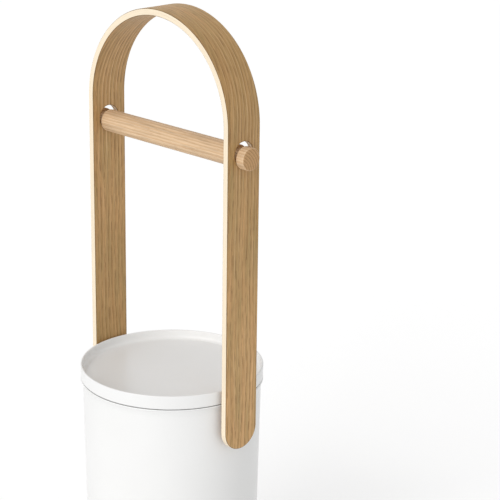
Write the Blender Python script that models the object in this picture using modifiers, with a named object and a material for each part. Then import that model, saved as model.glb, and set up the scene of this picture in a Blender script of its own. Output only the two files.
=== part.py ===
# Free-standing toilet roll holder: a canister for spare rolls, a bentwood bow
# whose legs stand outside it, a turned dowel across the bow for the roll in use,
# and a lift-off lid with a tray. Metres, +Z up, X from leg to leg, origin under
# the middle of the canister on the surface that it stands on.

from math import cos, pi, radians, sin, sqrt

import bmesh
import bpy

# Whole object
OVERALL_HEIGHT = 0.600
SEAT_GAP = 0.0003
CUT_OVERRUN = 0.010

# Canister
CAN_HEIGHT = 0.246
CAN_TOP_RADIUS = 0.085
CAN_TAPER = 0.0042
CAN_WALL = 0.0018
LIP_FLARE = 0.002
LIP_HEIGHT = 0.009
CAN_FLOOR_FILLET = 0.004
CAN_FOOT_FILLET = 0.005

# Anti-slip pad under the canister
FOOT_RIM = 0.0018
PAD_THICKNESS = 0.002
PAD_PROUD = 0.001
PAD_CHAMFER = 0.0003

# Bow
STRAP_WIDTH = 0.039
STRAP_THICKNESS = 0.0063
STRAP_EDGE = 0.0006
BOW_LIP_CLEARANCE = 0.0017
HOLE_RADIUS = 0.011
HOLE_BELOW_BEND = 0.022

# Dowel
DOWEL_PLAY = 0.0005
NECK_RADIUS = 0.0073
NECK_SIDE_PLAY = 0.0006
KNOB_LENGTH = 0.009
KNOB_FILLET = 0.0014
DOWEL_EDGE = 0.0005

# Screwed joint between each leg and the canister
SCREW_DROP = 0.0135
SCREW_SPACING = 0.020
SCREW_TO_STRAP_END = 0.0115
SCREW_RADIUS = 0.002
SCREW_END_CLEARANCE = 0.0006
SCREW_TIP_CHAMFER = 0.0005
HEAD_RADIUS = 0.0045
HEAD_HEIGHT = 0.0015
HEAD_ROUNDING = 0.0006
SOCKET_ACROSS = 0.0025
SOCKET_DEPTH = 0.0009
WASHER_RADIUS = 0.0055
WASHER_THICKNESS = 0.0007
SPACER_RADIUS = 0.006
INSERT_WALL = 0.0009
INSERT_GROOVE = 0.0003
INSERT_COVER = 0.0009
INSERT_BANDS = 5

# Lid
LID_BAND_HEIGHT = 0.0135
LID_BAND_DRAFT = 0.0003
LID_BAND_ROUNDING = 0.0016
LID_WALL = 0.0020
LID_SKIRT_LENGTH = 0.022
LID_SKIRT_DRAFT = 0.0006
LID_SCREW_CLEARANCE = 0.0004
TRAY_DEPTH = 0.009
TRAY_FILLET = 0.004
LID_EDGE = 0.0006

# Facets
ROUND_STEPS = 64
DOWEL_STEPS = 32
SMALL_STEPS = 16
HOLE_STEPS = 32
BEND_STEPS = 36
FILLET_STEPS = 4
EDGE_STEPS = 2
LIP_STEPS = 4
SMOOTH_ANGLE = radians(32)
WELD = 0.00001

# Worked out from the sizes above
can_bottom = PAD_PROUD
recess_height = PAD_THICKNESS + SEAT_GAP
floor_height = recess_height + CAN_WALL
can_base_radius = CAN_TOP_RADIUS - CAN_TAPER
pad_radius = can_base_radius - CAN_FOOT_FILLET - FOOT_RIM - SEAT_GAP
lip_radius = CAN_TOP_RADIUS + LIP_FLARE
sides = {"left": -1, "right": 1}
screw_heights = {
    "upper": CAN_HEIGHT - SCREW_DROP,
    "lower": CAN_HEIGHT - SCREW_DROP - SCREW_SPACING,
}
foot_tip_height = screw_heights["lower"] - SCREW_TO_STRAP_END
foot_centre_height = foot_tip_height + STRAP_WIDTH / 2
bore_radius = SCREW_RADIUS + SEAT_GAP
insert_radius = bore_radius + INSERT_WALL
insert_hole_radius = insert_radius + SEAT_GAP
insert_hole_depth = STRAP_THICKNESS - INSERT_COVER
insert_length = insert_hole_depth - 2 * SEAT_GAP
dowel_radius = HOLE_RADIUS - DOWEL_PLAY


def can_radius(height):
    """Outer radius of the tapered wall, the lip's flare left out."""
    share = (height - can_bottom) / (CAN_HEIGHT - can_bottom)
    return can_base_radius + CAN_TAPER * share


def lip_flare(height):
    """How far the lip stands out from the tapered wall."""
    share = (height - CAN_HEIGHT + LIP_HEIGHT) / LIP_HEIGHT
    return LIP_FLARE * (1 - cos(max(share, 0) * pi / 2))


def washer_seat(height):
    """Distance from the can's axis to a washer's face on the round wall."""
    inner = can_radius(height) - CAN_WALL
    return sqrt(inner ** 2 - WASHER_RADIUS ** 2) - SEAT_GAP


def head_seat(height):
    """Distance from the can's axis to the underside of a screw head."""
    return washer_seat(height) - WASHER_THICKNESS - SEAT_GAP


# Where the bow and the dowel stand, and how far the screws reach
bow_inner = lip_radius + BOW_LIP_CLEARANCE
bow_outer = bow_inner + STRAP_THICKNESS
bend_height = OVERALL_HEIGHT - bow_outer
hole_height = bend_height - HOLE_BELOW_BEND
dowel_height = hole_height - (HOLE_RADIUS - NECK_RADIUS - SEAT_GAP)
screw_tip = bow_inner + insert_hole_depth - SCREW_END_CLEARANCE
screw_length = screw_tip - max(head_seat(height) for height in screw_heights.values())


def arc(centre_x, centre_y, radius, start, end, steps):
    """Points of an arc, angles in degrees, both ends included."""
    points = []
    for step in range(steps + 1):
        angle = radians(start + (end - start) * step / steps)
        points.append((centre_x + radius * cos(angle), centre_y + radius * sin(angle)))
    return points


def clear_scene():
    for thing in list(bpy.data.objects):
        bpy.data.objects.remove(thing, do_unlink=True)


def new_collection(name):
    collection = bpy.data.collections.new(name)
    bpy.context.scene.collection.children.link(collection)
    return collection


def new_material(name, colour, roughness, metallic=0.0):
    material = bpy.data.materials.new(name)
    material.use_nodes = True
    shader = material.node_tree.nodes["Principled BSDF"]
    shader.inputs["Base Color"].default_value = (*colour, 1.0)
    shader.inputs["Roughness"].default_value = roughness
    shader.inputs["Metallic"].default_value = metallic
    material.diffuse_color = (*colour, 1.0)
    return material


def settle(thing):
    """Makes the modifiers' result the object's own mesh, shaded smooth."""
    bpy.context.view_layer.update()
    graph = bpy.context.evaluated_depsgraph_get()
    mesh = bpy.data.meshes.new_from_object(thing.evaluated_get(graph))
    thing.modifiers.clear()
    thing.data = mesh
    mesh.shade_smooth()
    mesh.set_sharp_from_angle(angle=SMOOTH_ANGLE)


def dress(thing, material):
    thing.data.materials.clear()
    thing.data.materials.append(material)


def turned(name, profile, steps, collection, ring=False):
    """Turns a profile of (radius, height) points about Z, top to bottom outside.

    The profile starts half a facet off the X axis, so that a facet faces each leg,
    and a ring's profile closes on itself."""
    mesh = bpy.data.meshes.new(name)
    start = pi / steps
    points = [(radius * cos(start), radius * sin(start), height)
              for radius, height in profile]
    edges = [(index, index + 1) for index in range(len(points) - 1)]
    if ring:
        edges.append((len(points) - 1, 0))
    mesh.from_pydata(points, edges, [])
    thing = bpy.data.objects.new(name, mesh)
    collection.objects.link(thing)
    screw = thing.modifiers.new("Turn", "SCREW")
    screw.axis = "Z"
    screw.angle = 2 * pi
    screw.steps = steps
    screw.render_steps = steps
    screw.use_merge_vertices = True
    screw.merge_threshold = WELD
    return thing


def outline(name, points, half_depth, edge, collection):
    """A closed flat outline made solid: half_depth each way, edges rounded."""
    curve = bpy.data.curves.new(name, "CURVE")
    curve.dimensions = "2D"
    curve.fill_mode = "BOTH"
    curve.extrude = half_depth - edge
    curve.bevel_depth = edge
    curve.bevel_resolution = 1
    curve.offset = -edge
    spline = curve.splines.new("POLY")
    spline.points.add(len(points) - 1)
    for spot, (x, y) in zip(spline.points, points):
        spot.co = (x, y, 0.0, 1.0)
    spline.use_cyclic_u = True
    drawn = bpy.data.objects.new(name, curve)
    collection.objects.link(drawn)
    graph = bpy.context.evaluated_depsgraph_get()
    mesh = bpy.data.meshes.new_from_object(drawn.evaluated_get(graph))
    bpy.data.objects.remove(drawn, do_unlink=True)
    form = bmesh.new()
    form.from_mesh(mesh)
    bmesh.ops.remove_doubles(form, verts=form.verts, dist=WELD)
    bmesh.ops.recalc_face_normals(form, faces=form.faces)
    form.to_mesh(mesh)
    form.free()
    solid = bpy.data.objects.new(name, mesh)
    collection.objects.link(solid)
    return solid


def as_cutter(thing, cutters):
    for collection in list(thing.users_collection):
        collection.objects.unlink(thing)
    cutters.objects.link(thing)
    thing.hide_render = True
    thing.display_type = "WIRE"
    return thing


def rod_along_x(name, radius, start, end, height, steps, cutters):
    """A round cutter along X from start to end at one height."""
    profile = [(0.0, end), (radius, end), (radius, start), (0.0, start)]
    rod = as_cutter(turned(name, profile, steps, cutters), cutters)
    rod.rotation_euler = (0.0, radians(90), 0.0)
    rod.location = (0.0, 0.0, height)
    return rod


def cut(thing, tools, cutters):
    """Takes all the tools away from the thing in one go."""
    group = bpy.data.collections.new("cut_" + thing.name)
    cutters.children.link(group)
    for tool in tools:
        group.objects.link(tool)
    boolean = thing.modifiers.new("Cut", "BOOLEAN")
    boolean.operation = "DIFFERENCE"
    boolean.solver = "EXACT"
    boolean.operand_type = "COLLECTION"
    boolean.collection = group


def point_outwards(thing, side, seat, height):
    """Stands a turned piece on its seat, its own Z away from the can's axis."""
    thing.rotation_euler = (0.0, radians(90) * side, 0.0)
    thing.location = (side * seat, 0.0, height)


def canister_profile():
    """From the middle of the floor over the lip to the middle of the recess."""
    floor_corner = can_radius(floor_height + CAN_FLOOR_FILLET) - CAN_WALL
    points = [(0.0, floor_height)]
    points += arc(floor_corner - CAN_FLOOR_FILLET, floor_height + CAN_FLOOR_FILLET,
                  CAN_FLOOR_FILLET, -90, 0, FILLET_STEPS)
    crest = CAN_HEIGHT - CAN_WALL / 2
    flare_base = CAN_HEIGHT - LIP_HEIGHT
    flare_heights = []
    for step in range(LIP_STEPS):
        flare_heights.append(flare_base + (crest - flare_base) * step / LIP_STEPS)
    for height in flare_heights:
        points.append((can_radius(height) + lip_flare(height) - CAN_WALL, height))
    crest_radius = lip_radius - CAN_WALL / 2
    points += arc(crest_radius, crest, CAN_WALL / 2, 180, 0, FILLET_STEPS)
    for height in reversed(flare_heights):
        points.append((can_radius(height) + lip_flare(height), height))
    foot = can_radius(can_bottom + CAN_FOOT_FILLET)
    points += arc(foot - CAN_FOOT_FILLET, can_bottom + CAN_FOOT_FILLET,
                  CAN_FOOT_FILLET, 0, -90, FILLET_STEPS)
    recess = pad_radius + SEAT_GAP
    points += [(recess, can_bottom), (recess, recess_height), (0.0, recess_height)]
    return points


def build_canister(parts, cutters, white):
    can = turned("canister", canister_profile(), ROUND_STEPS, parts)
    reach = lip_radius + CUT_OVERRUN
    drills = []
    for level, height in screw_heights.items():
        drills.append(rod_along_x("screw_holes_" + level, bore_radius, -reach, reach,
                                  height, SMALL_STEPS, cutters))
    cut(can, drills, cutters)
    settle(can)
    dress(can, white)


def build_pad(parts, rubber):
    top = PAD_THICKNESS
    shoulder = pad_radius - PAD_CHAMFER
    profile = [(0.0, top), (shoulder, top), (pad_radius, top - PAD_CHAMFER),
               (pad_radius, PAD_CHAMFER), (shoulder, 0.0), (0.0, 0.0)]
    pad = turned("anti_slip_pad", profile, ROUND_STEPS, parts)
    settle(pad)
    dress(pad, rubber)


def bow_outline():
    """The strap seen from the front: up one leg, over the bend, down the other."""
    below = foot_tip_height - CUT_OVERRUN
    points = [(bow_outer, below)]
    points += arc(0.0, bend_height, bow_outer, 0, 180, BEND_STEPS)
    points += [(-bow_outer, below), (-bow_inner, below)]
    points += arc(0.0, bend_height, bow_inner, 180, 0, BEND_STEPS)
    points.append((bow_inner, below))
    return points


def foot_outline():
    """All that the round ends leave off below the legs, seen from the side."""
    radius = STRAP_WIDTH / 2
    low = foot_tip_height - 2 * CUT_OVERRUN
    wide = radius + CUT_OVERRUN
    points = [(wide, low), (wide, foot_centre_height)]
    points += arc(0.0, foot_centre_height, radius, 0, -180, HOLE_STEPS)
    points += [(-wide, foot_centre_height), (-wide, low)]
    return points


def build_bow(parts, cutters, wood):
    bow = outline("bow", bow_outline(), STRAP_WIDTH / 2, STRAP_EDGE, parts)
    bow.rotation_euler = (radians(90), 0.0, 0.0)
    reach = bow_outer + CUT_OVERRUN
    ends = outline("rounded_ends", foot_outline(), reach, 0.0, cutters)
    ends.rotation_euler = (radians(90), 0.0, radians(90))
    tools = [as_cutter(ends, cutters)]
    tools.append(rod_along_x("dowel_holes", HOLE_RADIUS, -reach, reach, hole_height,
                             HOLE_STEPS, cutters))
    reach = bow_inner + insert_hole_depth
    for level, height in screw_heights.items():
        tools.append(rod_along_x("insert_holes_" + level, insert_hole_radius, -reach,
                                 reach, height, SMALL_STEPS, cutters))
    cut(bow, tools, cutters)
    settle(bow)
    dress(bow, wood)


def screw_profile():
    """Low round head below its seat, plain shank above it."""
    points = [(0.0, screw_length), (SCREW_RADIUS - SCREW_TIP_CHAMFER, screw_length)]
    points += [(SCREW_RADIUS, screw_length - SCREW_TIP_CHAMFER), (SCREW_RADIUS, 0.0)]
    points.append((HEAD_RADIUS, 0.0))
    points += arc(HEAD_RADIUS - HEAD_ROUNDING, HEAD_ROUNDING - HEAD_HEIGHT,
                  HEAD_ROUNDING, 0, -90, EDGE_STEPS)
    points.append((0.0, -HEAD_HEIGHT))
    return points


def socket_cutter(name, cutters):
    """Six-sided bar for the key socket in a screw head."""
    form = bmesh.new()
    corner = SOCKET_ACROSS / 2 / cos(radians(30))
    deep = SOCKET_DEPTH + CUT_OVERRUN
    bmesh.ops.create_cone(form, cap_ends=True, segments=6, radius1=corner,
                          radius2=corner, depth=deep)
    lift = -HEAD_HEIGHT + SOCKET_DEPTH - deep / 2
    bmesh.ops.translate(form, verts=form.verts, vec=(0.0, 0.0, lift))
    mesh = bpy.data.meshes.new(name)
    form.to_mesh(mesh)
    form.free()
    return as_cutter(bpy.data.objects.new(name, mesh), cutters)


def tube(name, outer, length, parts):
    """A plain tube on its seat, bored for a screw."""
    profile = [(bore_radius, length), (outer, length), (outer, 0.0), (bore_radius, 0.0)]
    return turned(name, profile, SMALL_STEPS, parts, ring=True)


def insert_profile():
    """Threaded insert: a tube whose every other band is a gripping groove."""
    pitch = insert_length / INSERT_BANDS
    points = [(bore_radius, insert_length)]
    for band in range(INSERT_BANDS):
        radius = insert_radius - INSERT_GROOVE * (band % 2)
        points.append((radius, insert_length - band * pitch))
        points.append((radius, insert_length - (band + 1) * pitch))
    points.append((bore_radius, 0.0))
    return points


def can_saddle(cutters):
    """The canister's outside with the seat gap, for cutting spacers to it."""
    low = screw_heights["lower"] - SPACER_RADIUS - CUT_OVERRUN
    high = screw_heights["upper"] + SPACER_RADIUS
    profile = [(0.0, high), (can_radius(high) + lip_flare(high) + SEAT_GAP, high)]
    flare_base = CAN_HEIGHT - LIP_HEIGHT
    if low < flare_base < high:
        profile.append((can_radius(flare_base) + SEAT_GAP, flare_base))
    profile += [(can_radius(low) + SEAT_GAP, low), (0.0, low)]
    return as_cutter(turned("can_saddle", profile, ROUND_STEPS, cutters), cutters)


def build_fixings(parts, cutters, steel, brass, nylon):
    socket = socket_cutter("key_socket", cutters)
    saddle = can_saddle(cutters)
    for side_name, side in sides.items():
        for level, height in screw_heights.items():
            place = side_name + "_" + level

            screw = turned("screw_" + place, screw_profile(), SMALL_STEPS, parts)
            point_outwards(screw, side, head_seat(height), height)
            socket.matrix_world = screw.matrix_basis
            cut(screw, [socket], cutters)
            settle(screw)
            dress(screw, steel)

            washer = tube("washer_" + place, WASHER_RADIUS, WASHER_THICKNESS, parts)
            point_outwards(washer, side, washer_seat(height) - WASHER_THICKNESS, height)
            settle(washer)
            dress(washer, steel)

            start = can_radius(height) - CAN_WALL
            length = bow_inner - SEAT_GAP - start
            spacer = tube("spacer_" + place, SPACER_RADIUS, length, parts)
            point_outwards(spacer, side, start, height)
            cut(spacer, [saddle], cutters)
            settle(spacer)
            dress(spacer, nylon)

            insert = turned("insert_" + place, insert_profile(), SMALL_STEPS, parts,
                            ring=True)
            point_outwards(insert, side, bow_inner + SEAT_GAP, height)
            settle(insert)
            dress(insert, brass)


def lid_profile():
    """Half section, heights from the shoulder that rests on the canister's lip."""
    band = lip_radius
    top = LID_BAND_HEIGHT
    edge = LID_WALL / 2
    tray_floor = top - TRAY_DEPTH
    tray_wall = band - LID_WALL - LID_BAND_DRAFT
    skirt = head_seat(screw_heights["upper"]) - HEAD_HEIGHT - LID_SCREW_CLEARANCE
    skirt_end = skirt - LID_SKIRT_DRAFT
    points = [(0.0, tray_floor)]
    points += arc(tray_wall - TRAY_FILLET, tray_floor + TRAY_FILLET, TRAY_FILLET,
                  -90, 0, FILLET_STEPS)
    points += arc(band - edge, top - edge, edge, 180, 0, FILLET_STEPS)
    points += arc(band - LID_BAND_DRAFT - LID_BAND_ROUNDING, LID_BAND_ROUNDING,
                  LID_BAND_ROUNDING, 0, -90, FILLET_STEPS)
    points.append((skirt, 0.0))
    points += arc(skirt_end - LID_EDGE, LID_EDGE - LID_SKIRT_LENGTH, LID_EDGE,
                  0, -90, EDGE_STEPS)
    points.append((skirt_end - LID_WALL, -LID_SKIRT_LENGTH))
    points.append((skirt - LID_WALL, tray_floor - LID_WALL))
    points.append((0.0, tray_floor - LID_WALL))
    return points


def build_lid(parts, white):
    lid = turned("lid", lid_profile(), ROUND_STEPS, parts)
    lid.location = (0.0, 0.0, CAN_HEIGHT + SEAT_GAP)
    settle(lid)
    dress(lid, white)


def dowel_profile():
    """End knob, neck and half the body, then the same again mirrored."""
    shoulder = bow_inner - NECK_SIDE_PLAY
    knob = bow_outer + NECK_SIDE_PLAY
    end = knob + KNOB_LENGTH
    near = dowel_radius - DOWEL_EDGE
    half = [(0.0, end)]
    half += arc(dowel_radius - KNOB_FILLET, end - KNOB_FILLET, KNOB_FILLET, 90, 0,
                FILLET_STEPS)
    half += [(dowel_radius, knob + DOWEL_EDGE), (near, knob), (NECK_RADIUS, knob)]
    half += [(NECK_RADIUS, shoulder), (near, shoulder)]
    half.append((dowel_radius, shoulder - DOWEL_EDGE))
    return half + [(radius, -along) for radius, along in reversed(half)]


def build_dowel(parts, wood):
    dowel = turned("dowel", dowel_profile(), DOWEL_STEPS, parts)
    dowel.rotation_euler = (0.0, radians(90), 0.0)
    dowel.location = (0.0, 0.0, dowel_height)
    settle(dowel)
    dress(dowel, wood)


def main():
    clear_scene()
    parts = new_collection("toilet_roll_holder")
    cutters = new_collection("cutters")
    white = new_material("satin_white", (0.86, 0.86, 0.85), 0.32)
    veneer = new_material("oak_veneer", (0.42, 0.26, 0.13), 0.55)
    pale_oak = new_material("turned_oak", (0.66, 0.44, 0.24), 0.55)
    steel = new_material("zinc_steel", (0.50, 0.50, 0.51), 0.35, 1.0)
    brass = new_material("brass", (0.72, 0.55, 0.25), 0.35, 1.0)
    nylon = new_material("white_nylon", (0.80, 0.80, 0.78), 0.50)
    rubber = new_material("grey_rubber", (0.10, 0.10, 0.10), 0.80)
    build_canister(parts, cutters, white)
    build_pad(parts, rubber)
    build_bow(parts, cutters, veneer)
    build_fixings(parts, cutters, steel, brass, nylon)
    build_lid(parts, white)
    build_dowel(parts, pale_oak)


main()
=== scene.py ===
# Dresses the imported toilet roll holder: canister, lid, bentwood bow, dowel and fixings.
from math import atan2, ceil, cos, hypot, pi, radians, sin, sqrt

import bmesh
import bpy
from mathutils import Matrix, Vector


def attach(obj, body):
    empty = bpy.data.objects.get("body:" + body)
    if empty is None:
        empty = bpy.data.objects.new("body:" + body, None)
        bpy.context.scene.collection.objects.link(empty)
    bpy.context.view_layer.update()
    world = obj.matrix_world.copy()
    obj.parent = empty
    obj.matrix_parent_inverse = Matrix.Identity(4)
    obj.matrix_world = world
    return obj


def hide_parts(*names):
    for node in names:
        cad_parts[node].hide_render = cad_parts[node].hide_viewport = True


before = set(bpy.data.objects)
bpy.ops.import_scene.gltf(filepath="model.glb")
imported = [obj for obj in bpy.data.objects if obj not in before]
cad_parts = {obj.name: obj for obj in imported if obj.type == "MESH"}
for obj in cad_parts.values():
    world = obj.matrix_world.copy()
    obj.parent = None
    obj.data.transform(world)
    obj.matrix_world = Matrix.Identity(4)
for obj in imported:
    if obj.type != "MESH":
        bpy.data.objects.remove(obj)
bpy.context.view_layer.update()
print("frame loaded")

# all lengths are in metres
seatGap = 0.0003
mergeReach = 0.000002
cutReach = 0.0000001
pastPiece = 0.01  # how far a tool that cuts sticks out of the piece
sharpAngle = radians(32)
threadShares = (0.125, 0.4375, 0.5625, 0.875)  # of a pitch, where a thread's flanks begin and end
scene = bpy.context.scene


# helpers for meshes
def arcPoints(centreX, centreY, radius, start, end, steps):
    points = []
    for step in range(steps + 1):
        angle = radians(start + (end - start) * step / steps)
        points.append((centreX + radius * cos(angle), centreY + radius * sin(angle)))
    return points


def mergeForm(form):
    bmesh.ops.remove_doubles(form, verts=form.verts, dist=mergeReach)


def settleForm(form):
    mergeForm(form)
    bmesh.ops.recalc_face_normals(form, faces=form.faces)


def cutAway(form, height, facing):
    # takes off what lies past a level, above it where facing is 1 and below it where -1
    bmesh.ops.bisect_plane(form, geom=form.verts[:] + form.edges[:] + form.faces[:],
                           dist=cutReach, plane_co=(0, 0, height), plane_no=(0, 0, facing),
                           clear_outer=True)


def drawLine(form, points):
    # joins (radius, height) points
    verts = [form.verts.new((radius, 0.0, height)) for radius, height in points]
    return verts, [form.edges.new(pair) for pair in zip(verts, verts[1:])]


def spunForm(profile, steps, closed=False):
    # turns (radius, height) points about Z
    form = bmesh.new()
    verts, edges = drawLine(form, profile)
    if closed:
        edges.append(form.edges.new((verts[-1], verts[0])))
    bmesh.ops.spin(form, geom=verts + edges, cent=(0, 0, 0), axis=(0, 0, 1), angle=2 * pi,
                   steps=steps, use_merge=True)
    settleForm(form)
    return form


def formToObject(form, name):
    mesh = bpy.data.meshes.new(name)
    form.to_mesh(mesh)
    form.free()
    thing = bpy.data.objects.new(name, mesh)
    scene.collection.objects.link(thing)
    return thing


def applyModifiers(thing):
    bpy.context.view_layer.update()
    graph = bpy.context.evaluated_depsgraph_get()
    mesh = bpy.data.meshes.new_from_object(thing.evaluated_get(graph))
    thing.modifiers.clear()
    thing.data = mesh


def combine(thing, *steps):
    # joins, trims or cuts the thing with each tool in turn, then merges what nearly touches
    for operation, tool in steps:
        boolean = thing.modifiers.new(operation.lower(), "BOOLEAN")
        boolean.operation = operation
        boolean.solver = "EXACT"
        boolean.object = tool
    applyModifiers(thing)
    for operation, tool in steps:
        bpy.data.objects.remove(tool, do_unlink=True)
    form = bmesh.new()
    form.from_mesh(thing.data)
    mergeForm(form)
    bmesh.ops.dissolve_degenerate(form, edges=form.edges, dist=mergeReach)
    form.to_mesh(thing.data)
    form.free()


def threadedRod(thread, radius, start, end, phase=0.0):
    # one pitch of the thread's outline, spun and raised turn by turn, then cut to length
    pitch = thread["pitch"]
    root = radius - thread["depth"]
    base = phase - pitch * ceil((phase - start) / pitch + 1)
    turns = ceil((end - base) / pitch) + 1
    form = bmesh.new()
    outline = zip((root, root, radius, radius, root, root), (0.0, *threadShares, 1.0))
    verts, edges = drawLine(form, [(reach, base + share * pitch) for reach, share in outline])
    bmesh.ops.spin(form, geom=verts + edges, cent=(0, 0, 0), axis=(0, 0, 1),
                   dvec=(0, 0, pitch / thread["steps"]), angle=2 * pi * turns,
                   steps=thread["steps"] * turns)
    mergeForm(form)
    cutAway(form, start, -1)
    cutAway(form, end, 1)
    mergeForm(form)
    bmesh.ops.holes_fill(form, edges=[edge for edge in form.edges if edge.is_boundary], sides=0)
    bmesh.ops.recalc_face_normals(form, faces=form.faces)
    return form


def rodAlongX(name, radius, start, end, height, steps):
    form = bmesh.new()
    bmesh.ops.create_cone(form, cap_ends=True, segments=steps, radius1=radius, radius2=radius,
                          depth=end - start)
    place = Matrix.Translation(((start + end) / 2, 0.0, height)) @ Matrix.Rotation(pi / 2, 4, "Y")
    bmesh.ops.transform(form, matrix=place, verts=form.verts)
    return formToObject(form, name)


def smoothOver(thing):
    mesh = thing.data
    mesh.shade_smooth()
    mesh.set_sharp_from_angle(angle=sharpAngle)
    weigh = thing.modifiers.new("weightedNormals", "WEIGHTED_NORMAL")
    weigh.mode = "FACE_AREA"
    weigh.keep_sharp = True
    applyModifiers(thing)


def finishPiece(thing, material, body, slotName, *nodes):
    smoothOver(thing)
    thing.data.materials.clear()
    thing.data.materials.append(material)
    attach(thing, body)
    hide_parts(*nodes)
    print("made", thing.name)


# helpers for materials
def screenColour(red, green, blue):
    # a colour as a screen shows it, as the shader wants it
    shares = []
    for value in (red, green, blue):
        share = value / 255
        shares.append(share / 12.92 if share <= 0.04045 else ((share + 0.055) / 1.055) ** 2.4)
    return (*shares, 1.0)


def grey(value):
    return (value, value, value, 1.0)


def warmShade(value, green=1.24, blue=1.77):
    # a factor for wood: with the usual powers a screen shows about the same step in red,
    # green and blue
    return (value, value ** green, value ** blue, 1.0)


def newMaterial(name):
    material = bpy.data.materials.new(name)
    material.use_nodes = True
    tree = material.node_tree
    return material, tree, tree.nodes["Principled BSDF"]


def feedInput(tree, socket, value):
    # the value is a number, a colour, a place or another node's output
    if isinstance(value, bpy.types.NodeSocket):
        tree.links.new(value, socket)
    else:
        socket.default_value = value


def feedNode(tree, node, **values):
    for key, value in values.items():
        feedInput(tree, node.inputs[key.replace("_", " ")], value)


def addNode(tree, kind, where, settings=None, **values):
    node = tree.nodes.new("ShaderNode" + kind)
    node.location = where
    for key, value in (settings or {}).items():
        setattr(node, key, value)
    feedNode(tree, node, **values)
    return node


# each of these adds one node and gives back the output that the next one takes
def attribute(tree, where, name, output="Vector"):
    return addNode(tree, "Attribute", where, {"attribute_name": name}).outputs[output]


def objectPlace(tree, where):
    return addNode(tree, "TexCoord", where).outputs["Object"]


def noise(tree, where, place, **values):
    return addNode(tree, "TexNoise", where, Vector=place, **values).outputs["Fac"]


def bump(tree, where, height, **values):
    return addNode(tree, "Bump", where, Height=height, **values).outputs["Normal"]


def remap(tree, where, value, source=(0.0, 1.0), target=(0.0, 1.0), easing="LINEAR"):
    node = addNode(tree, "MapRange", where, {"interpolation_type": easing}, Value=value,
                   From_Min=source[0], From_Max=source[1], To_Min=target[0], To_Max=target[1])
    return node.outputs["Result"]


def reckon(tree, where, operation, *values, kind="Math", output="Value"):
    node = addNode(tree, kind, where, {"operation": operation})
    for socket, value in zip(node.inputs, values):
        feedInput(tree, socket, value)
    return node.outputs[output]


def colourRamp(tree, where, share, stops):
    node = addNode(tree, "ValToRGB", where, Fac=share)
    elements = node.color_ramp.elements
    while len(elements) < len(stops):
        elements.new(0.5)
    for element, (position, colour) in zip(elements, stops):
        element.position = position
        element.color = colour
    return node.outputs["Color"]


def blend(tree, where, mode, factor, first, second):
    node = addNode(tree, "Mix", where, {"data_type": "RGBA", "blend_type": mode})
    # sockets 0, 6 and 7 are the factor and the two colours of a colour mix
    for socket, value in ((0, factor), (6, first), (7, second)):
        feedInput(tree, node.inputs[socket], value)
    return node.outputs[2]


def grainNoise(tree, height, place, squeeze, **values):
    # places are squeezed along X first, which draws the noise out along the grain
    squeezed = addNode(tree, "Mapping", (-1650, height), Vector=place,
                       Scale=(squeeze, 1.0, 1.0))
    return noise(tree, (-1200, height), squeezed.outputs["Vector"], **values)


# materials
def makeSatinWhite():
    material, tree, shader = newMaterial("satinWhite")
    place = objectPlace(tree, (-1100, 0))
    drift = noise(tree, (-800, 250), place, Scale=11.0, Detail=2.0)
    tint = colourRamp(tree, (-520, 250), drift, [(0.30, (0.835, 0.835, 0.826, 1.0)),
                                                 (0.70, (0.868, 0.868, 0.862, 1.0))])
    sheen = noise(tree, (-800, -20), place, Scale=70.0, Detail=4.0, Roughness=0.6)
    polish = remap(tree, (-520, -20), sheen, target=(0.27, 0.37))
    skin = noise(tree, (-800, -300), place, Scale=1500.0, Detail=2.0)
    normal = bump(tree, (-300, -300), skin, Strength=0.12, Distance=0.00006)
    feedNode(tree, shader, Base_Color=tint, Roughness=polish, Normal=normal,
             Specular_IOR_Level=0.45)
    return material


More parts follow.
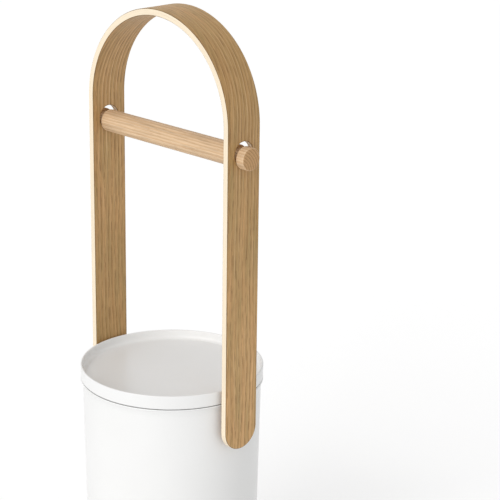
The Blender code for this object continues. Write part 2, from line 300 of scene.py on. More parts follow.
def makeVeneer():
    # the veneer and the ply are one block of wood in the flat strap's own coordinates:
    # X along the strap, Y across it, Z through its thickness
    material, tree, shader = newMaterial("oakVeneer")
    place = attribute(tree, (-2300, 0), "flatPlace")
    split = addNode(tree, "SeparateXYZ", (-2100, -800), Vector=place)
    along, across, through = (split.outputs[axis] for axis in "XYZ")

    # growth lines a few millimetres apart: rings about a point beside the crown, drawn out
    # so that they slant over the bend and run straight down the legs
    reach = strap["figureReach"]
    slant = reach * strap["figureSlant"]
    drawn = remap(tree, (-1870, 600), along, (-reach, reach), (-slant, slant), "SMOOTHSTEP")
    beside = reckon(tree, (-1870, 420), "ADD", across, strap["figureCentre"])
    ringPlace = addNode(tree, "CombineXYZ", (-1650, 420), X=drawn, Y=beside).outputs["Vector"]
    strayPlace = addNode(tree, "Mapping", (-1870, 120), Vector=place, Scale=(0.4, 1.0, 1.0))
    stray = addNode(tree, "TexNoise", (-1650, 120), Vector=strayPlace.outputs["Vector"],
                    Scale=11.0, Detail=2.0)
    bent = reckon(tree, (-1430, 120), "MULTIPLY_ADD", stray.outputs["Color"],
                  strap["figureStray"], ringPlace, kind="VectorMath", output="Vector")
    rings = {"wave_type": "RINGS", "rings_direction": "Z", "wave_profile": "SAW"}
    figure = addNode(tree, "TexWave", (-1200, 420), rings, Vector=bent, Distortion=1.5,
                     Scale=strap["waveUnit"] / strap["growthLine"], Detail=0.0,
                     Detail_Scale=1.0).outputs["Fac"]
    figureColour = colourRamp(tree, (-960, 420), figure, [
        (0.00, screenColour(166, 127, 77)), (0.20, screenColour(184, 146, 94)),
        (0.66, screenColour(191, 153, 102)), (0.82, screenColour(217, 183, 137)),
        (0.95, screenColour(210, 175, 129)), (1.00, screenColour(176, 137, 87))])
    # all finer grain follows the same lines: how far a line lies out stands for Y
    outBy = reckon(tree, (-2100, 900), "LENGTH", bent, kind="VectorMath")
    grain = addNode(tree, "CombineXYZ", (-1870, 900), X=along, Y=outBy,
                    Z=through).outputs["Vector"]

    # bands that drift between a darker, greener brown and a paler, redder one
    drift = grainNoise(tree, 760, grain, 0.07, Scale=210.0, Detail=4.0, Roughness=0.6)
    driftColour = colourRamp(tree, (-960, 760), drift, [
        (0.30, screenColour(172, 144, 92)), (0.5, screenColour(188, 150, 97)),
        (0.70, screenColour(206, 160, 106))])
    # the growth lines fade out here and there, along the strap's front edge and on the legs
    fade = grainNoise(tree, 1060, grain, 0.30, Scale=24.0, Detail=1.0)
    fadeShare = remap(tree, (-960, 1060), fade, (0.35, 0.62), (0.20, 0.86))
    frontShare = remap(tree, (-960, 920), across, strap["frontFade"], (0.85, 0.0))
    away = reckon(tree, (-1200, 1240), "ABSOLUTE", along)
    legShare = remap(tree, (-960, 1180), away, strap["legFade"], (0.0, 0.68))
    plain = reckon(tree, (-740, 1000), "MAXIMUM", fadeShare, frontShare)
    plain = reckon(tree, (-640, 1100), "MAXIMUM", plain, legShare)
    colour = blend(tree, (-640, 560), "MIX", plain, figureColour, driftColour)
    # painted light and shade, partly also the wood's own tone drift: the sheet is darker, and a
    # little warmer with it,
    # over the bend than at its ends (painted shade there, painted floor light lower on the legs):
    # each entry is a share of the reach from the crown and a factor
    reach = strap["paintedLightReach"]
    sheet = remap(tree, (-960, 1300), along, (-reach, reach))
    paintedLight = colourRamp(tree, (-740, 1300), sheet, [
        (share / 2 + 0.5, warmShade(value, 1.1, 1.5)) for share, value in strap["paintedLight"]])
    # multiplies the painted shade and painted light into the veneer's colour
    colour = blend(tree, (-580, 700), "MULTIPLY", 1.0, colour, paintedLight)

    # streaks about a millimetre wide, and the fine fibres inside them
    streaks = grainNoise(tree, 20, grain, 0.022, Scale=760.0, Detail=4.0, Roughness=0.7)
    streakColour = colourRamp(tree, (-960, 20), streaks, [
        (0.28, warmShade(0.60)), (0.45, warmShade(0.95)), (0.58, warmShade(1.07)),
        (0.74, warmShade(1.32))])
    colour = blend(tree, (-520, 420), "MULTIPLY", 0.62, colour, streakColour)
    fibres = grainNoise(tree, -260, grain, 0.03, Scale=2100.0, Detail=3.0, Roughness=0.65)
    fibreColour = colourRamp(tree, (-960, -260), fibres, [
        (0.30, warmShade(0.75)), (0.52, warmShade(1.0)), (0.75, warmShade(1.18))])
    colour = blend(tree, (-360, 420), "MULTIPLY", 0.7, colour, fibreColour)

    # pores: short dark dashes, which crowd along the dark side of each growth line
    pores = grainNoise(tree, -520, grain, 0.04, Scale=2700.0, Detail=0.0)
    poreShare = colourRamp(tree, (-960, -520), pores, [(0.535, grey(0.0)), (0.585, grey(0.62))])
    crowd = colourRamp(tree, (-960, -660), figure, [
        (0.0, grey(1.0)), (0.30, grey(0.75)), (0.50, grey(0.30)), (0.97, grey(0.22)),
        (1.0, grey(1.0))])
    poreShare = blend(tree, (-640, -560), "MULTIPLY", 1.0, poreShare, crowd)
    colour = blend(tree, (-200, 420), "MIX", poreShare, colour, screenColour(122, 88, 50))

    # where the strap's edge shows the veneer from the side, it is darker
    depth = reckon(tree, (-1430, -800), "ABSOLUTE", through)
    face = strap["thickness"] / 2
    glue = face - strap["veneer"]
    inside = remap(tree, (-1200, -660), depth, [face - by for by in strap["sideFade"]],
                   easing="SMOOTHSTEP")
    colour = blend(tree, (-60, 560), "MULTIPLY", inside, colour, (0.50, 0.47, 0.44, 1.0))
    # pale plies between the two face veneers, with faint glue lines
    bands = {"wave_type": "BANDS", "bands_direction": "Z"}
    plies = addNode(tree, "TexWave", (-1200, -1060), bands, Vector=place, Distortion=0.6,
                    Scale=strap["waveUnit"] / strap["ply"], Detail=1.0).outputs["Fac"]
    plyColour = colourRamp(tree, (-960, -1060), plies, [
        (0.0, screenColour(234, 212, 180)), (0.14, screenColour(244, 228, 202)),
        (1.0, screenColour(248, 234, 210))])
    plyGrain = grainNoise(tree, -1320, place, 0.03, Scale=1300.0, Detail=3.0)
    plyShade = colourRamp(tree, (-960, -1320), plyGrain, [(0.3, grey(0.86)), (0.6, grey(1.0))])
    plyColour = blend(tree, (-640, -1060), "MULTIPLY", 0.6, plyColour, plyShade)
    isVeneer = remap(tree, (-1200, -800), depth, [glue + by for by in strap["glueFade"]],
                     easing="SMOOTHSTEP")
    colour = blend(tree, (0, 200), "MIX", isVeneer, plyColour, colour)

    polish = remap(tree, (-640, -160), fibres, target=(0.42, 0.60))
    normal = bump(tree, (0, -260), fibres, Strength=0.30, Distance=0.00012)
    feedNode(tree, shader, Base_Color=colour, Roughness=polish, Normal=normal,
             Specular_IOR_Level=0.35)
    return material


def makeTurnedOak():
    # growth rings about a line along X that lies beside the dowel, so that the ends
    # show arcs and the sides show long lines
    material, tree, shader = newMaterial("turnedOak")
    place = objectPlace(tree, (-1900, 0))
    fromPith = addNode(tree, "Mapping", (-1480, 200), Vector=place, Scale=(0.12, 1.0, 1.0),
                       Location=(0.0, rod["besidePith"], rod["abovePith"] - rod["height"]))
    rings = addNode(tree, "TexWave", (-1200, 200),
                    {"wave_type": "RINGS", "rings_direction": "X", "wave_profile": "SAW"},
                    Vector=fromPith.outputs["Vector"], Scale=120.0, Distortion=1.4,
                    Detail=2.0, Detail_Scale=3.0).outputs["Fac"]
    ringColour = colourRamp(tree, (-960, 200), rings, [
        (0.0, screenColour(197, 161, 121)), (0.25, screenColour(209, 176, 139)),
        (0.75, screenColour(220, 191, 156)), (1.0, screenColour(209, 176, 140))])
    fibres = grainNoise(tree, -160, place, 0.045, Scale=620.0, Detail=5.0, Roughness=0.68)
    fibreColour = colourRamp(tree, (-960, -160), fibres, [
        (0.30, grey(0.66)), (0.50, grey(1.0)), (0.74, grey(1.24))])
    colour = blend(tree, (-640, 200), "MULTIPLY", 0.8, ringColour, fibreColour)
    pores = grainNoise(tree, -460, place, 0.08, Scale=2000.0, Detail=1.0)
    poreShare = colourRamp(tree, (-960, -460), pores, [(0.62, grey(0.0)), (0.74, grey(0.45))])
    colour = blend(tree, (-400, 200), "MIX", poreShare, colour, screenColour(176, 128, 80))

    # end grain drinks in more lacquer, so it is darker and its rings stand out
    endColour = colourRamp(tree, (-960, 460), rings, [
        (0.0, screenColour(146, 104, 62)), (0.18, screenColour(184, 144, 98)),
        (0.80, screenColour(200, 160, 112)), (1.0, screenColour(172, 130, 85))])
    endColour = blend(tree, (-640, 460), "MULTIPLY", 0.5, endColour, fibreColour)
    isEnd = attribute(tree, (-960, -760), "endGrain", "Fac")
    colour = blend(tree, (-180, 200), "MIX", isEnd, colour, endColour)
    polish = remap(tree, (-640, -160), fibres, target=(0.44, 0.60))
    normal = bump(tree, (-180, -260), fibres, Strength=0.25, Distance=0.0001)
    feedNode(tree, shader, Base_Color=colour, Roughness=polish, Normal=normal,
             Specular_IOR_Level=0.35)
    return material


def makeMetal(name, dark, light, rough):
    # fine turning marks about each piece's own axis, and a mottled plating
    material, tree, shader = newMaterial(name)
    place = attribute(tree, (-1100, 0), "ownPlace")
    mottle = noise(tree, (-820, 200), place, Scale=900.0, Detail=4.0)
    tint = colourRamp(tree, (-560, 200), mottle, [(0.3, dark), (0.7, light)])
    polish = remap(tree, (-560, -60), mottle, target=rough)
    marks = addNode(tree, "TexWave", (-820, -300),
                    {"wave_type": "RINGS", "rings_direction": "Z"}, Vector=place,
                    Scale=1600.0, Distortion=0.5).outputs["Fac"]
    normal = bump(tree, (-300, -300), marks, Strength=0.15, Distance=0.00004)
    feedNode(tree, shader, Base_Color=tint, Roughness=polish, Normal=normal, Metallic=1.0)
    return material


def makeNylon():
    material, tree, shader = newMaterial("whiteNylon")
    place = objectPlace(tree, (-1000, 0))
    cloud = noise(tree, (-760, 160), place, Scale=260.0, Detail=3.0)
    tint = colourRamp(tree, (-500, 160), cloud, [(0.3, (0.74, 0.74, 0.71, 1.0)),
                                                 (0.7, (0.82, 0.82, 0.80, 1.0))])
    polish = remap(tree, (-500, -80), cloud, target=(0.45, 0.58))
    grain = noise(tree, (-760, -300), place, Scale=2600.0, Detail=2.0)
    normal = bump(tree, (-300, -300), grain, Strength=0.2, Distance=0.00005)
    feedNode(tree, shader, Base_Color=tint, Roughness=polish, Normal=normal)
    return material


def makeFoamRubber():
    material, tree, shader = newMaterial("greyRubber")
    place = objectPlace(tree, (-1000, 0))
    cells = addNode(tree, "TexVoronoi", (-760, 160), Vector=place,
                    Scale=1400.0).outputs["Distance"]
    tint = colourRamp(tree, (-500, 160), cells, [(0.05, (0.035, 0.035, 0.037, 1.0)),
                                                 (0.45, (0.105, 0.105, 0.107, 1.0))])
    dust = noise(tree, (-760, -100), place, Scale=45.0, Detail=5.0)
    polish = remap(tree, (-500, -100), dust, target=(0.72, 0.9))
    normal = bump(tree, (-300, -300), cells, Strength=0.6, Distance=0.0002)
    feedNode(tree, shader, Base_Color=tint, Roughness=polish, Normal=normal,
             Specular_IOR_Level=0.3)
    return material


# canister
canister = {
    "height": 0.246,
    "topRadius": 0.085,
    "taper": 0.0042,
    "wall": 0.0018,
    "lipFlare": 0.002,
    "lipHeight": 0.009,
    "floorHeight": 0.0041,
    "floorFillet": 0.004,
    "footHeight": 0.001,
    "footFillet": 0.005,
    "recessRadius": 0.074,
    "recessHeight": 0.0023,
    "ringSpacing": 0.001,
    "filletSteps": 10,
    "lipSteps": 12,
    "steps": 192,
}

fixing = {
    "heights": {"Upper": 0.2325, "Lower": 0.2125},
    "boreRadius": 0.0023,
    "boreSteps": 32,
    "wallBand": 0.008,
    "edgeSteps": 3,
}


def wallRadius(height):
    share = (height - canister["footHeight"]) / (canister["height"] - canister["footHeight"])
    return canister["topRadius"] - canister["taper"] * (1 - share)


def flareAt(height):
    share = (height - canister["height"] + canister["lipHeight"]) / canister["lipHeight"]
    return canister["lipFlare"] * (1 - cos(max(share, 0) * pi / 2))


def canisterProfile():
    wall = canister["wall"]
    fillet = canister["floorFillet"]
    filletSteps = canister["filletSteps"]
    lipSteps = canister["lipSteps"]
    corner = wallRadius(canister["floorHeight"] + fillet) - wall
    points = [(0.0, canister["floorHeight"])]
    points += arcPoints(corner - fillet, canister["floorHeight"] + fillet, fillet, -90, 0,
                        filletSteps)
    bandHeights = []
    for height in reversed(list(fixing["heights"].values())):
        bandHeights += [height - fixing["wallBand"], height + fixing["wallBand"]]
    crest = canister["height"] - wall / 2
    flareBase = canister["height"] - canister["lipHeight"]
    heights = [height for height in bandHeights
               if height < flareBase - canister["ringSpacing"]]
    heights += [flareBase + (crest - flareBase) * step / lipSteps for step in range(lipSteps)]
    for height in heights:
        points.append((wallRadius(height) + flareAt(height) - wall, height))
    crestRadius = canister["topRadius"] + canister["lipFlare"] - wall / 2
    points += arcPoints(crestRadius, crest, wall / 2, 180, 0, lipSteps)
    for height in reversed(heights):
        points.append((wallRadius(height) + flareAt(height), height))
    foot = canister["footFillet"]
    footRadius = wallRadius(canister["footHeight"] + foot)
    points += arcPoints(footRadius - foot, canister["footHeight"] + foot, foot, 0, -90,
                        filletSteps)
    points += [(canister["recessRadius"], canister["footHeight"]),
               (canister["recessRadius"], canister["recessHeight"]),
               (0.0, canister["recessHeight"])]
    return points


def makeCanister(material):
    can = formToObject(spunForm(canisterProfile(), canister["steps"]), "canisterShell")
    reach = canister["topRadius"] + pastPiece
    drills = [rodAlongX("drill" + level, fixing["boreRadius"], -reach, reach, height,
                        fixing["boreSteps"]) for level, height in fixing["heights"].items()]
    combine(can, *[("DIFFERENCE", drill) for drill in drills])
    finishPiece(can, material, "stand", "satin_white", "canister")


# lid
lid = {
    "shoulder": 0.2463,
    "bandRadius": 0.087,
    "bandHeight": 0.0135,
    "bandDraft": 0.0003,
    "bandRounding": 0.0016,
    "wall": 0.0020,
    "skirtLength": 0.022,
    "skirtRadius": 0.0796,
    "skirtDraft": 0.0006,
    "trayDepth": 0.009,
    "trayFillet": 0.004,
    "edge": 0.0006,
    "filletSteps": 10,
    "rimSteps": 12,
    "bandSteps": 8,
    "edgeSteps": 5,
    "steps": 192,
}


def lidProfile():
    band = lid["bandRadius"]
    top = lid["bandHeight"]
    edge = lid["wall"] / 2
    trayFloor = top - lid["trayDepth"]
    trayWall = band - lid["wall"] - lid["bandDraft"]
    skirtEnd = lid["skirtRadius"] - lid["skirtDraft"]
    points = [(0.0, trayFloor)]
    points += arcPoints(trayWall - lid["trayFillet"], trayFloor + lid["trayFillet"],
                        lid["trayFillet"], -90, 0, lid["filletSteps"])
    points += arcPoints(band - edge, top - edge, edge, 180, 0, lid["rimSteps"])
    points += arcPoints(band - lid["bandDraft"] - lid["bandRounding"], lid["bandRounding"],
                        lid["bandRounding"], 0, -90, lid["bandSteps"])
    points.append((lid["skirtRadius"], 0.0))
    points += arcPoints(skirtEnd - lid["edge"], lid["edge"] - lid["skirtLength"], lid["edge"],
                        0, -90, lid["edgeSteps"])
    points.append((skirtEnd - lid["wall"], -lid["skirtLength"]))
    points.append((lid["skirtRadius"] - lid["wall"], trayFloor - lid["wall"]))
    points.append((0.0, trayFloor - lid["wall"]))
    return points


def makeLid(material):
    form = spunForm(lidProfile(), lid["steps"])
    bmesh.ops.translate(form, verts=form.verts, vec=(0.0, 0.0, lid["shoulder"]))
    shell = formToObject(form, "lidShell")
    finishPiece(shell, material, "lid", "satin_white", "lid")


# bow
strap = {
    "width": 0.039,
    "thickness": 0.0063,
    "edge": 0.0009,
    "veneer": 0.0005,
    "ply": 0.0009,
    "growthLine": 0.0037,
    "figureReach": 0.15,
    "figureSlant": 0.21,
    "figureCentre": 0.047,
    "figureStray": (0.004, 0.014, 0.0),
    "frontFade": (-0.015, -0.004),  # across the strap
    "legFade": (0.13, 0.22),  # along it from the crown
    "sideFade": (0.00002, 0.00012),  # below its faces
    "glueFade": (-0.00010, 0.00006),  # about the glue under the veneer
    "waveUnit": pi / 10,  # a wave texture of scale 1 repeats after this length
    "inner": 0.0887,
    "bendHeight": 0.505,
    "footTip": 0.201,
    "holeRadius": 0.011,
    "holeHeight": 0.483,
    "insertRadius": 0.0035,
    "insertDepth": 0.0054,
    "bendSteps": 48,
    "roundSteps": 64,
    "edgeSteps": 3,
    # painted light and shade along the strap: a reach and (share, factor) pairs that darken the
    # bend and lighten the lower legs
    "paintedLightReach": 0.45,
    "paintedLight": ((-0.8, 0.96), (-0.3, 1.08), (0.0, 0.99), (0.2, 0.87), (0.5, 1.0), (0.8, 1.13)),
}


def legCurve():
    # flat outline of one leg with its dowel hole, given its thickness and round edges
    half = strap["width"] / 2
    footCentre = strap["footTip"] + half
    above = strap["bendHeight"] + pastPiece
    steps = strap["roundSteps"]
    outer = [(half, above)] + arcPoints(0.0, footCentre, half, 0, -180, steps) + [(-half, above)]
    hole = arcPoints(0.0, strap["holeHeight"], strap["holeRadius"], 0, 360, steps)[:-1]
    curve = bpy.data.curves.new("legOutline", "CURVE")
    curve.dimensions = "2D"
    curve.fill_mode = "BOTH"
    curve.extrude = strap["thickness"] / 2 - strap["edge"]
    curve.bevel_depth = strap["edge"]
    curve.bevel_resolution = strap["edgeSteps"]
    curve.offset = -strap["edge"]
    for points in (outer, hole):
        spline = curve.splines.new("POLY")
        spline.points.add(len(points) - 1)
        for spot, (across, height) in zip(spline.points, points):
            spot.co = (across, height, 0.0, 1.0)
        spline.use_cyclic_u = True
    drawn = bpy.data.objects.new("legOutline", curve)
    scene.collection.objects.link(drawn)
    bpy.context.view_layer.update()
    mesh = bpy.data.meshes.new_from_object(
        drawn.evaluated_get(bpy.context.evaluated_depsgraph_get()))
    bpy.data.objects.remove(drawn, do_unlink=True)
    return mesh


def makeBow(material):
    middle = strap["inner"] + strap["thickness"] / 2
    form = bmesh.new()
    form.from_mesh(legCurve())
    settleForm(form)
    # the outline's X goes across the strap, its Y up the leg and its Z outwards
    stand = Matrix(((0, 0, 1, middle), (1, 0, 0, 0), (0, 1, 0, 0), (0, 0, 0, 1)))
    bmesh.ops.transform(form, matrix=stand, verts=form.verts)
    leg = formToObject(form, "bentBow")
    drills = [rodAlongX("insertHole" + level, strap["insertRadius"], strap["inner"] - pastPiece,
                        strap["inner"] + strap["insertDepth"], height, fixing["boreSteps"])
              for level, height in fixing["heights"].items()]
    combine(leg, *[("DIFFERENCE", drill) for drill in drills])

    form = bmesh.new()
    form.from_mesh(leg.data)
    cutAway(form, strap["bendHeight"], 1)
    rim = [edge for edge in form.edges if edge.is_boundary]
    verts = list({vert for edge in rim for vert in edge.verts})
    bmesh.ops.spin(form, geom=verts + rim, cent=(0, 0, strap["bendHeight"]), axis=(0, -1, 0),
                   angle=pi / 2, steps=strap["bendSteps"])
    mergeForm(form)
    bmesh.ops.mirror(form, geom=form.verts[:] + form.edges[:] + form.faces[:], axis="X",
                     merge_dist=mergeReach)
    settleForm(form)

    flatPlace = form.verts.layers.float_vector.new("flatPlace")
    for vert in form.verts:
        rise = vert.co.z - strap["bendHeight"]
        if rise > 0:
            along = middle * atan2(vert.co.x, rise)
            through = hypot(vert.co.x, rise) - middle
        else:
            along = (middle * pi / 2 - rise) * (1 if vert.co.x > 0 else -1)
            through = abs(vert.co.x) - middle
        vert[flatPlace] = (along, vert.co.y, through)
    form.to_mesh(leg.data)
    form.free()
    finishPiece(leg, material, "stand", "oak_veneer", "bow")


# dowel
rod = {
    "height": 0.4796,
    "radius": 0.0105,
    "neckRadius": 0.0073,
    "bodyHalf": 0.0881,
    "knobStart": 0.0956,
    "knobLength": 0.009,
    "knobFillet": 0.0014,
    "edge": 0.0005,
    "neckFillet": 0.0005,
    "besidePith": 0.016,
    "abovePith": 0.011,
    "knobSteps": 8,
    "edgeSteps": 4,
    "steps": 96,
}


def dowelProfile():
    end = rod["knobStart"] + rod["knobLength"]
    edge = rod["edge"]
    steps = rod["edgeSteps"]
    rounding = rod["knobFillet"]
    fillet = rod["neckFillet"]
    bottom = rod["neckRadius"] + fillet
    half = [(0.0, end)]
    half += arcPoints(rod["radius"] - rounding, end - rounding, rounding, 90, 0,
                      rod["knobSteps"])
    half += arcPoints(rod["radius"] - edge, rod["knobStart"] + edge, edge, 0, -90, steps)
    half += arcPoints(bottom, rod["knobStart"] - fillet, fillet, 90, 180, steps)
    half += arcPoints(bottom, rod["bodyHalf"] + fillet, fillet, 180, 270, steps)
    half += arcPoints(rod["radius"] - edge, rod["bodyHalf"] - edge, edge, 90, 0, steps)
    return half + [(radius, -along) for radius, along in reversed(half)]


def makeDowel(material):
    form = spunForm(dowelProfile(), rod["steps"])
    endGrain = form.faces.layers.float.new("endGrain")
    form.normal_update()
    # full on the flat ends, none on the sides
    for face in form.faces:
        face[endGrain] = max(0.0, abs(face.normal.z) * 2 - 1)
    place = Matrix.Translation((0.0, 0.0, rod["height"])) @ Matrix.Rotation(pi / 2, 4, "Y")
    bmesh.ops.transform(form, matrix=place, verts=form.verts)
    dowel = formToObject(form, "turnedDowel")
    finishPiece(dowel, material, "dowel", "turned_oak", "dowel")


# fixings
screw = {
    "shankRadius": 0.002,
    "length": 0.0120,
    "tipChamfer": 0.0005,
    "plainEnd": 0.0008,
    "headRadius": 0.0045,
    "headHeight": 0.0015,
    "headRounding": 0.0006,
    "headSteps": 6,
    "edge": 0.0001,
    "edgeSteps": 2,
    "socketAcross": 0.0025,
    "socketDepth": 0.0013,
    "steps": 48,
}

fineThread = {"pitch": 0.0007, "depth": 0.00038, "steps": 24}
coarseThread = {"pitch": 0.0014, "depth": 0.0005, "steps": 32}

insert = {
    "start": 0.0890,
    "length": 0.0048,
    "radius": 0.0032,
    "chamfer": 0.0004,
    "tapRadius": 0.00211,
    "slotWidth": 0.0009,
    "slotDepth": 0.0010,
}

washer = {"radius": 0.0055, "thickness": 0.0007, "edge": 0.00012}
spacer = {"radius": 0.006, "edge": 0.0003}


def placeOnLeg(thing, side, seat, height):
    # stands a turned piece on its seat, its own Z away from the can's axis, and keeps
    # where each point was before, for its material
    form = bmesh.new()
    form.from_mesh(thing.data)
    ownPlace = form.verts.layers.float_vector.new("ownPlace")
    for vert in form.verts:
        vert[ownPlace] = vert.co
    place = Matrix.Translation((side * seat, 0.0, height)) @ Matrix.Rotation(pi / 2 * side, 4, "Y")
    bmesh.ops.transform(form, matrix=place, verts=form.verts)
    form.to_mesh(thing.data)
    form.free()


def washerSeat(height):
    inner = wallRadius(height) - canister["wall"]
    return sqrt(inner ** 2 - washer["radius"] ** 2) - seatGap


def headSeat(height):
    return washerSeat(height) - washer["thickness"] - seatGap


def chamferedEnvelope(radius, chamfer, start, end, bothEnds=False):
    # a rod wider than the thread whose chamfered end trims it
    margin = chamfer / 4
    wide = radius + margin
    slope = chamfer + margin
    profile = [(0.0, end), (radius - chamfer, end), (wide, end - slope)]
    if bothEnds:
        profile += [(wide, start + slope), (radius - chamfer, start), (0.0, start)]
    else:
        profile += [(wide, start - slope), (0.0, start - slope)]
    return formToObject(spunForm(profile, screw["steps"]), "envelope")


def headForm():
    head = screw["headRadius"]
    rounding = screw["headRounding"]
    edge = screw["edge"]
    points = [(0.0, screw["plainEnd"]), (screw["shankRadius"], screw["plainEnd"]),
              (screw["shankRadius"], 0.0)]
    points += arcPoints(head - edge, -edge, edge, 90, 0, screw["edgeSteps"])
    points += arcPoints(head - rounding, rounding - screw["headHeight"], rounding, 0, -90,
                        screw["headSteps"])
    points.append((0.0, -screw["headHeight"]))
    return spunForm(points, screw["steps"])


def roundedTube(inner, outer, length, edge):
    steps = fixing["edgeSteps"]
    points = arcPoints(outer - edge, length - edge, edge, 90, 0, steps)
    points += arcPoints(outer - edge, edge, edge, 0, -90, steps)
    points += arcPoints(inner + edge, edge, edge, -90, -180, steps)
    points += arcPoints(inner + edge, length - edge, edge, 180, 90, steps)
    return points


def makeScrew(name, side, height, material, node):
    radius = screw["shankRadius"]
    length = screw["length"]
    piece = formToObject(threadedRod(fineThread, radius, 0.0, length), name)
    socket = bmesh.new()
    corner = screw["socketAcross"] / 2 / cos(radians(30))
    bmesh.ops.create_cone(socket, cap_ends=True, segments=6, radius1=corner, radius2=corner,
                          depth=screw["socketDepth"] * 2)
    bmesh.ops.translate(socket, verts=socket.verts, vec=(0.0, 0.0, -screw["headHeight"]))
    combine(piece, ("INTERSECT", chamferedEnvelope(radius, screw["tipChamfer"], 0.0, length)),
            ("UNION", formToObject(headForm(), "head")),
            ("DIFFERENCE", formToObject(socket, "keySocket")))
    placeOnLeg(piece, side, headSeat(height), height)
    finishPiece(piece, material, "stand", "zinc_steel", node)


def makeInsert(name, side, height, material, node):
    # brass sleeve, coarse thread outside, the screw's thread inside, slotted to drive it in
    length = insert["length"]
    piece = formToObject(threadedRod(coarseThread, insert["radius"], 0.0, length), name)
    tap = threadedRod(fineThread, insert["tapRadius"], -insert["slotDepth"],
                      length + insert["slotDepth"], headSeat(height) - insert["start"])
    slot = bmesh.new()
    bmesh.ops.create_cube(slot, size=2.0)
    bmesh.ops.scale(slot, verts=slot.verts,
                    vec=(insert["slotWidth"] / 2, insert["radius"] * 2, insert["slotDepth"]))
    combine(piece, ("INTERSECT", chamferedEnvelope(insert["radius"], insert["chamfer"], 0.0,
                                                   length, bothEnds=True)),
            ("DIFFERENCE", formToObject(tap, "tap")),
            ("DIFFERENCE", formToObject(slot, "driveSlot")))
    placeOnLeg(piece, side, insert["start"], height)
    finishPiece(piece, material, "stand", "brass", node)


def makeTube(name, profile, side, seat, height):
    tube = formToObject(spunForm(profile, screw["steps"], closed=True), name)
    placeOnLeg(tube, side, seat, height)
    return tube


def saddleForm():
    # the canister's outside with the seat gap, for cutting the spacers to it
    low = fixing["heights"]["Lower"] - spacer["radius"] - pastPiece
    high = fixing["heights"]["Upper"] + spacer["radius"]
    flareBase = canister["height"] - canister["lipHeight"]
    profile = [(0.0, high)]
    for height in (high, flareBase, low):
        profile.append((wallRadius(height) + flareAt(height) + seatGap, height))
    profile.append((0.0, low))
    return spunForm(profile, canister["steps"])


def makeFixings(steel, nylon, brass):
    for side, sideName in ((-1, "Left"), (1, "Right")):
        for level, height in fixing["heights"].items():
            place = sideName + level
            suffix = "_" + sideName.lower() + "_" + level.lower()
            makeScrew("screw" + place, side, height, steel, "screw" + suffix)

            ring = roundedTube(fixing["boreRadius"], washer["radius"], washer["thickness"],
                               washer["edge"])
            disc = makeTube("washer" + place, ring, side,
                            washerSeat(height) - washer["thickness"], height)
            finishPiece(disc, steel, "stand", "zinc_steel", "washer" + suffix)

            start = wallRadius(height) - canister["wall"]
            ring = roundedTube(fixing["boreRadius"], spacer["radius"],
                               strap["inner"] - seatGap - start, spacer["edge"])
            block = makeTube("spacer" + place, ring, side, start, height)
            combine(block, ("DIFFERENCE", formToObject(saddleForm(), "saddle")))
            finishPiece(block, nylon, "stand", "white_nylon", "spacer" + suffix)

            makeInsert("insert" + place, side, height, brass, "insert" + suffix)


# pad
pad = {"radius": 0.0737, "thickness": 0.002, "edge": 0.0003, "edgeSteps": 4}


def makePad(material):
    edge = pad["edge"]
    steps = pad["edgeSteps"]
    profile = [(0.0, pad["thickness"])]
    profile += arcPoints(pad["radius"] - edge, pad["thickness"] - edge, edge, 90, 0, steps)
    profile += arcPoints(pad["radius"] - edge, edge, edge, 0, -90, steps)
    profile.append((0.0, 0.0))
    disc = formToObject(spunForm(profile, canister["steps"]), "antiSlipPad")
    finishPiece(disc, material, "stand", "grey_rubber", "anti_slip_pad")


# floor, light and camera
studio = {
    "floorRadius": 30.0,
    "floorSteps": 128,
    "floorColour": 0.94,
    "floorLift": 0.25,
    "ambient": 0.64,
    "keyStrength": 1.47,
    "keyAngle": 45.0,
    "keyFrom": (0.18, -0.98, 0.40),
}

view = {
    "place": (1.1749, -1.0538, 0.8849),
    "yaw": 45.464,
    "pitch": 18.011,
    "roll": 0.734,
    "lens": 127.9,
    "sensor": 36.0,
    "farthest": 100.0,
}


def makeFloor():
    form = bmesh.new()
    bmesh.ops.create_circle(form, cap_ends=True, segments=studio["floorSteps"],
                            radius=studio["floorRadius"])
    floor = formToObject(form, "floor")
    material, tree, shader = newMaterial("paleFloor")
    path = addNode(tree, "LightPath", (-700, -200)).outputs
    seen = reckon(tree, (-500, -200), "MAXIMUM", path["Is Camera Ray"], path["Is Glossy Ray"])
    lift = reckon(tree, (-300, -200), "MULTIPLY", seen, studio["floorLift"])
    feedNode(tree, shader, Base_Color=grey(studio["floorColour"]), Roughness=0.9,
             Specular_IOR_Level=0.0, Emission_Color=grey(1.0), Emission_Strength=lift)
    floor.data.materials.append(material)


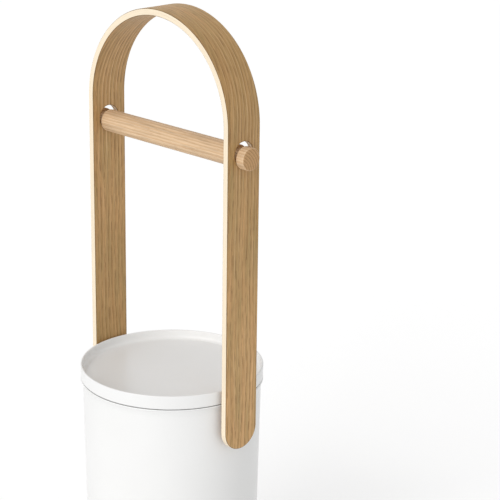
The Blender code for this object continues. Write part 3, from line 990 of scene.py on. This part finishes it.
def makeSun(name, strength, angle, comesFrom):
    lamp = bpy.data.lights.new(name, "SUN")
    lamp.energy = strength
    lamp.angle = radians(angle)
    thing = bpy.data.objects.new(name, lamp)
    thing.rotation_euler = Vector(comesFrom).to_track_quat("Z", "Y").to_euler()
    scene.collection.objects.link(thing)


def makeWorld():
    # white where the camera, a reflection or glass sees it, dimmer as a light
    world = bpy.data.worlds.new("studio")
    scene.world = world
    world.use_nodes = True
    tree = world.node_tree
    path = addNode(tree, "LightPath", (-900, 200)).outputs
    seen = reckon(tree, (-700, 200), "MAXIMUM", path["Is Camera Ray"], path["Is Glossy Ray"])
    seen = reckon(tree, (-500, 200), "MAXIMUM", seen, path["Is Transmission Ray"])
    level = remap(tree, (-300, 200), seen, target=(studio["ambient"], 1.0))
    feedNode(tree, tree.nodes["Background"], Color=grey(1.0), Strength=level)


def makeCamera():
    yaw, pitch, roll = (radians(view[key]) for key in ("yaw", "pitch", "roll"))
    right = Vector((cos(yaw), sin(yaw), 0.0))
    ahead = Vector((-sin(yaw) * cos(pitch), cos(yaw) * cos(pitch), -sin(pitch)))
    up = right.cross(ahead)
    axisX = right * cos(roll) + up * sin(roll)
    axisY = up * cos(roll) - right * sin(roll)
    lens = bpy.data.cameras.new("camera")
    lens.sensor_width = view["sensor"]
    lens.lens = view["lens"]
    lens.clip_end = view["farthest"]
    camera = bpy.data.objects.new("camera", lens)
    turn = Matrix((axisX, axisY, -ahead)).transposed().to_4x4()
    camera.matrix_world = Matrix.Translation(view["place"]) @ turn
    scene.collection.objects.link(camera)
    scene.camera = camera


makeCamera()
makeWorld()
makeSun("key", studio["keyStrength"], studio["keyAngle"], studio["keyFrom"])
makeFloor()
scene.view_settings.view_transform = "Standard"
print("studio set up")

satinWhite = makeSatinWhite()
zincSteel = makeMetal("zincSteel", (0.42, 0.43, 0.45, 1.0), (0.60, 0.60, 0.61, 1.0),
                      (0.28, 0.46))
insertBrass = makeMetal("insertBrass", (0.60, 0.44, 0.18, 1.0), (0.80, 0.63, 0.30, 1.0),
                        (0.25, 0.42))
makeCanister(satinWhite)
makeLid(satinWhite)
makeBow(makeVeneer())
makeDowel(makeTurnedOak())
makeFixings(zincSteel, makeNylon(), insertBrass)
makePad(makeFoamRubber())
